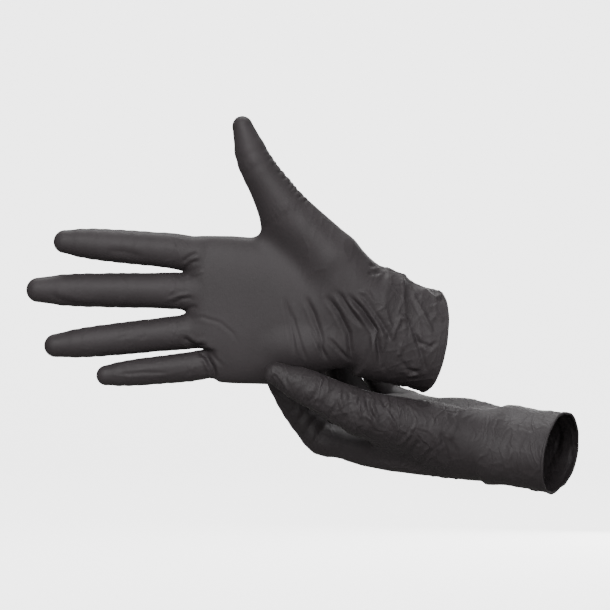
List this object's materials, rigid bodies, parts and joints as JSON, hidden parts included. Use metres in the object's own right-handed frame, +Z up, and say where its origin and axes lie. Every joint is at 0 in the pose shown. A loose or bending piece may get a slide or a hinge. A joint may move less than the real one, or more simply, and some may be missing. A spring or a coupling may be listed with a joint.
{
  "type": "disposable work gloves",
  "caption": "Black disposable nitrile work gloves with jointed fingers: an open right glove gripped by a left glove.",
  "frame": {"origin": "middle of the lowest level of the pair's bounding box", "axes": "+Z up; the right glove's fingers point to -X and its palm faces -Y"},
  "size_m": [0.3104, 0.1122, 0.2097],
  "materials": {
    "right_film": "satin",
    "left_film": "satin"
  },
  "bodies": {
    "right_cuff": {"right_cuff": "right_film", "right_cuff_bead": "right_film"},
    "right_palm": {"right_palm": "right_film"},
    "right_index_base": {"right_index_base": "right_film"},
    "right_index_middle": {"right_index_middle": "right_film"},
    "right_index_tip": {"right_index_tip": "right_film"},
    "right_middle_base": {"right_middle_base": "right_film"},
    "right_middle_middle": {"right_middle_middle": "right_film"},
    "right_middle_tip": {"right_middle_tip": "right_film"},
    "right_ring_base": {"right_ring_base": "right_film"},
    "right_ring_middle": {"right_ring_middle": "right_film"},
    "right_ring_tip": {"right_ring_tip": "right_film"},
    "right_little_base": {"right_little_base": "right_film"},
    "right_little_middle": {"right_little_middle": "right_film"},
    "right_little_tip": {"right_little_tip": "right_film"},
    "right_thumb_base": {"right_thumb_base": "right_film"},
    "right_thumb_tip": {"right_thumb_tip": "right_film"},
    "left_cuff": {"left_cuff": "left_film", "left_cuff_bead": "left_film"},
    "left_palm": {"left_palm": "left_film"},
    "left_index_base": {"left_index_base": "left_film"},
    "left_index_middle": {"left_index_middle": "left_film"},
    "left_index_tip": {"left_index_tip": "left_film"},
    "left_middle_base": {"left_middle_base": "left_film"},
    "left_middle_middle": {"left_middle_middle": "left_film"},
    "left_middle_tip": {"left_middle_tip": "left_film"},
    "left_ring_base": {"left_ring_base": "left_film"},
    "left_ring_middle": {"left_ring_middle": "left_film"},
    "left_ring_tip": {"left_ring_tip": "left_film"},
    "left_little_base": {"left_little_base": "left_film"},
    "left_little_middle": {"left_little_middle": "left_film"},
    "left_little_tip": {"left_little_tip": "left_film"},
    "left_thumb_base": {"left_thumb_base": "left_film"},
    "left_thumb_tip": {"left_thumb_tip": "left_film"}
  },
  "joints": [
    {"name": "right_wrist", "type": "hinge", "parent": "right_cuff", "child": "right_palm", "pos_m": [0.03937, -0.02754, 0.09446], "axis": [0, 0, 1], "range_deg": [-40, 40]},
    {"name": "left_glove_release", "type": "slide", "parent": "right_palm", "child": "left_palm", "axis": [0.0528, 0.398, -0.9158], "range_m": [0, 0.12]},
    {"name": "left_wrist", "type": "hinge", "parent": "left_palm", "child": "left_cuff", "pos_m": [0.11307, -0.01494, 0.02736], "axis": [0.5173, 0.7736, 0.366], "range_deg": [-40, 40]},
    {"name": "right_index_curl", "type": "hinge", "parent": "right_palm", "child": "right_index_base", "pos_m": [-0.07323, -0.02754, 0.13506], "axis": [0.0837, 0, 0.9965], "range_deg": [0, 70]},
    {"name": "right_index_middle_bend", "type": "hinge", "parent": "right_index_base", "child": "right_index_middle", "pos_m": [-0.09615, -0.02754, 0.13698], "axis": [0.0837, 0, 0.9965], "range_deg": [0, 90]},
    {"name": "right_index_tip_bend", "type": "hinge", "parent": "right_index_middle", "child": "right_index_tip", "pos_m": [-0.11807, -0.02754, 0.13883], "axis": [0.0837, 0, 0.9965], "range_deg": [0, 45]},
    {"name": "right_middle_curl", "type": "hinge", "parent": "right_palm", "child": "right_middle_base", "pos_m": [-0.07383, -0.02754, 0.11286], "axis": [0.0052, 0, 1], "range_deg": [0, 70]},
    {"name": "right_middle_middle_bend", "type": "hinge", "parent": "right_middle_base", "child": "right_middle_middle", "pos_m": [-0.10183, -0.02754, 0.11301], "axis": [0.0052, 0, 1], "range_deg": [0, 90]},
    {"name": "right_middle_tip_bend", "type": "hinge", "parent": "right_middle_middle", "child": "right_middle_tip", "pos_m": [-0.12783, -0.02754, 0.11314], "axis": [0.0052, 0, 1], "range_deg": [0, 45]},
    {"name": "right_ring_curl", "type": "hinge", "parent": "right_palm", "child": "right_ring_base", "pos_m": [-0.07213, -0.02754, 0.08926], "axis": [-0.1045, 0, 0.9945], "range_deg": [0, 70]},
    {"name": "right_ring_middle_bend", "type": "hinge", "parent": "right_ring_base", "child": "right_ring_middle", "pos_m": [-0.09699, -0.02754, 0.08665], "axis": [-0.1045, 0, 0.9945], "range_deg": [0, 90]},
    {"name": "right_ring_tip_bend", "type": "hinge", "parent": "right_ring_middle", "child": "right_ring_tip", "pos_m": [-0.12086, -0.02754, 0.08414], "axis": [-0.1045, 0, 0.9945], "range_deg": [0, 45]},
    {"name": "right_little_curl", "type": "hinge", "parent": "right_palm", "child": "right_little_base", "pos_m": [-0.06423, -0.02754, 0.07026], "axis": [-0.0993, 0, 0.9951], "range_deg": [0, 66]},
    {"name": "right_little_middle_bend", "type": "hinge", "parent": "right_little_base", "child": "right_little_middle", "pos_m": [-0.08114, -0.02754, 0.06857], "axis": [-0.0993, 0, 0.9951], "range_deg": [0, 84.86]},
    {"name": "right_little_tip_bend", "type": "hinge", "parent": "right_little_middle", "child": "right_little_tip", "pos_m": [-0.09806, -0.02754, 0.06688], "axis": [-0.0993, 0, 0.9951], "range_deg": [0, 42.43]},
    {"name": "right_thumb_swing", "type": "hinge", "parent": "right_palm", "child": "right_thumb_base", "pos_m": [-0.01113, -0.03454, 0.15896], "axis": [0.3763, -0.9062, 0.1929], "range_deg": [-15, 45]},
    {"name": "right_thumb_bend", "type": "hinge", "parent": "right_thumb_base", "child": "right_thumb_tip", "pos_m": [-0.02823, -0.03635, 0.18379], "axis": [0.3763, -0.9062, 0.1929], "range_deg": [0, 75]},
    {"name": "left_index_curl", "type": "hinge", "parent": "left_palm", "child": "left_index_base", "pos_m": [0.00935, 0.00141, 0.02848], "axis": [0.444, 0.8121, 0.3786], "range_deg": [-45, 0]},
    {"name": "left_index_middle_bend", "type": "hinge", "parent": "left_index_base", "child": "left_index_middle", "pos_m": [-0.00454, 0.00047, 0.04679], "axis": [0.444, 0.8121, 0.3786], "range_deg": [-9.5, 0]},
    {"name": "left_index_tip_bend", "type": "hinge", "parent": "left_index_middle", "child": "left_index_tip", "pos_m": [-0.01509, -0.00264, 0.06584], "axis": [0.444, 0.8121, 0.3786], "range_deg": [-4.75, 0]},
    {"name": "left_middle_curl", "type": "hinge", "parent": "left_palm", "child": "left_middle_base", "pos_m": [0.0204, 0.01883, 0.03669], "axis": [0.5128, 0.7761, 0.3669], "range_deg": [-45, 0]},
    {"name": "left_middle_middle_bend", "type": "hinge", "parent": "left_middle_base", "child": "left_middle_middle", "pos_m": [0.00384, 0.0191, 0.05927], "axis": [0.5128, 0.7761, 0.3669], "range_deg": [-13.3, 0]},
    {"name": "left_middle_tip_bend", "type": "hinge", "parent": "left_middle_middle", "child": "left_middle_tip", "pos_m": [-0.00716, 0.01537, 0.08253], "axis": [0.5128, 0.7761, 0.3669], "range_deg": [-7.6, 0]},
    {"name": "left_ring_curl", "type": "hinge", "parent": "left_palm", "child": "left_ring_base", "pos_m": [0.03385, 0.03637, 0.04509], "axis": [0.6037, 0.7178, 0.3468], "range_deg": [-45, 0]},
    {"name": "left_ring_middle_bend", "type": "hinge", "parent": "left_ring_base", "child": "left_ring_middle", "pos_m": [0.02006, 0.03793, 0.06588], "axis": [0.6037, 0.7178, 0.3468], "range_deg": [-16.15, 0]},
    {"name": "left_ring_tip_bend", "type": "hinge", "parent": "left_ring_middle", "child": "left_ring_tip", "pos_m": [0.01143, 0.03449, 0.08801], "axis": [0.6037, 0.7178, 0.3468], "range_deg": [-9.5, 0]},
    {"name": "left_little_curl", "type": "hinge", "parent": "left_palm", "child": "left_little_base", "pos_m": [0.04949, 0.04772, 0.05092], "axis": [0.5996, 0.7208, 0.3478], "range_deg": [-45, 0]},
    {"name": "left_little_middle_bend", "type": "hinge", "parent": "left_little_base", "child": "left_little_middle", "pos_m": [0.04007, 0.04874, 0.06504], "axis": [0.5996, 0.7208, 0.3478], "range_deg": [-19, 0]},
    {"name": "left_little_tip_bend", "type": "hinge", "parent": "left_little_middle", "child": "left_little_tip", "pos_m": [0.03458, 0.04568, 0.08084], "axis": [0.5996, 0.7208, 0.3478], "range_deg": [-11.4, 0]},
    {"name": "left_thumb_swing", "type": "hinge", "parent": "left_palm", "child": "left_thumb_base", "pos_m": [0.02977, -0.04243, 0.04555], "axis": [-0.3924, -0.2263, -0.8915], "range_deg": [-28, 0]},
    {"name": "left_thumb_bend", "type": "hinge", "parent": "left_thumb_base", "child": "left_thumb_tip", "pos_m": [0.00301, -0.04749, 0.05861], "axis": [-0.3924, -0.2263, -0.8915], "range_deg": [-25, 0]}
  ],
  "couplings": [
    {"joint": "right_index_middle_bend", "follows": "right_index_curl", "ratio": 1.2857},
    {"joint": "right_index_tip_bend", "follows": "right_index_curl", "ratio": 0.6429},
    {"joint": "right_middle_middle_bend", "follows": "right_middle_curl", "ratio": 1.2857},
    {"joint": "right_middle_tip_bend", "follows": "right_middle_curl", "ratio": 0.6429},
    {"joint": "right_ring_middle_bend", "follows": "right_ring_curl", "ratio": 1.2857},
    {"joint": "right_ring_tip_bend", "follows": "right_ring_curl", "ratio": 0.6429},
    {"joint": "right_little_middle_bend", "follows": "right_little_curl", "ratio": 1.2857},
    {"joint": "right_little_tip_bend", "follows": "right_little_curl", "ratio": 0.6429},
    {"joint": "left_index_middle_bend", "follows": "left_index_curl", "ratio": 0.2111},
    {"joint": "left_index_tip_bend", "follows": "left_index_curl", "ratio": 0.1056},
    {"joint": "left_middle_middle_bend", "follows": "left_middle_curl", "ratio": 0.2956},
    {"joint": "left_middle_tip_bend", "follows": "left_middle_curl", "ratio": 0.1689},
    {"joint": "left_ring_middle_bend", "follows": "left_ring_curl", "ratio": 0.3589},
    {"joint": "left_ring_tip_bend", "follows": "left_ring_curl", "ratio": 0.2111},
    {"joint": "left_little_middle_bend", "follows": "left_little_curl", "ratio": 0.4222},
    {"joint": "left_little_tip_bend", "follows": "left_little_curl", "ratio": 0.2533}
  ]
}
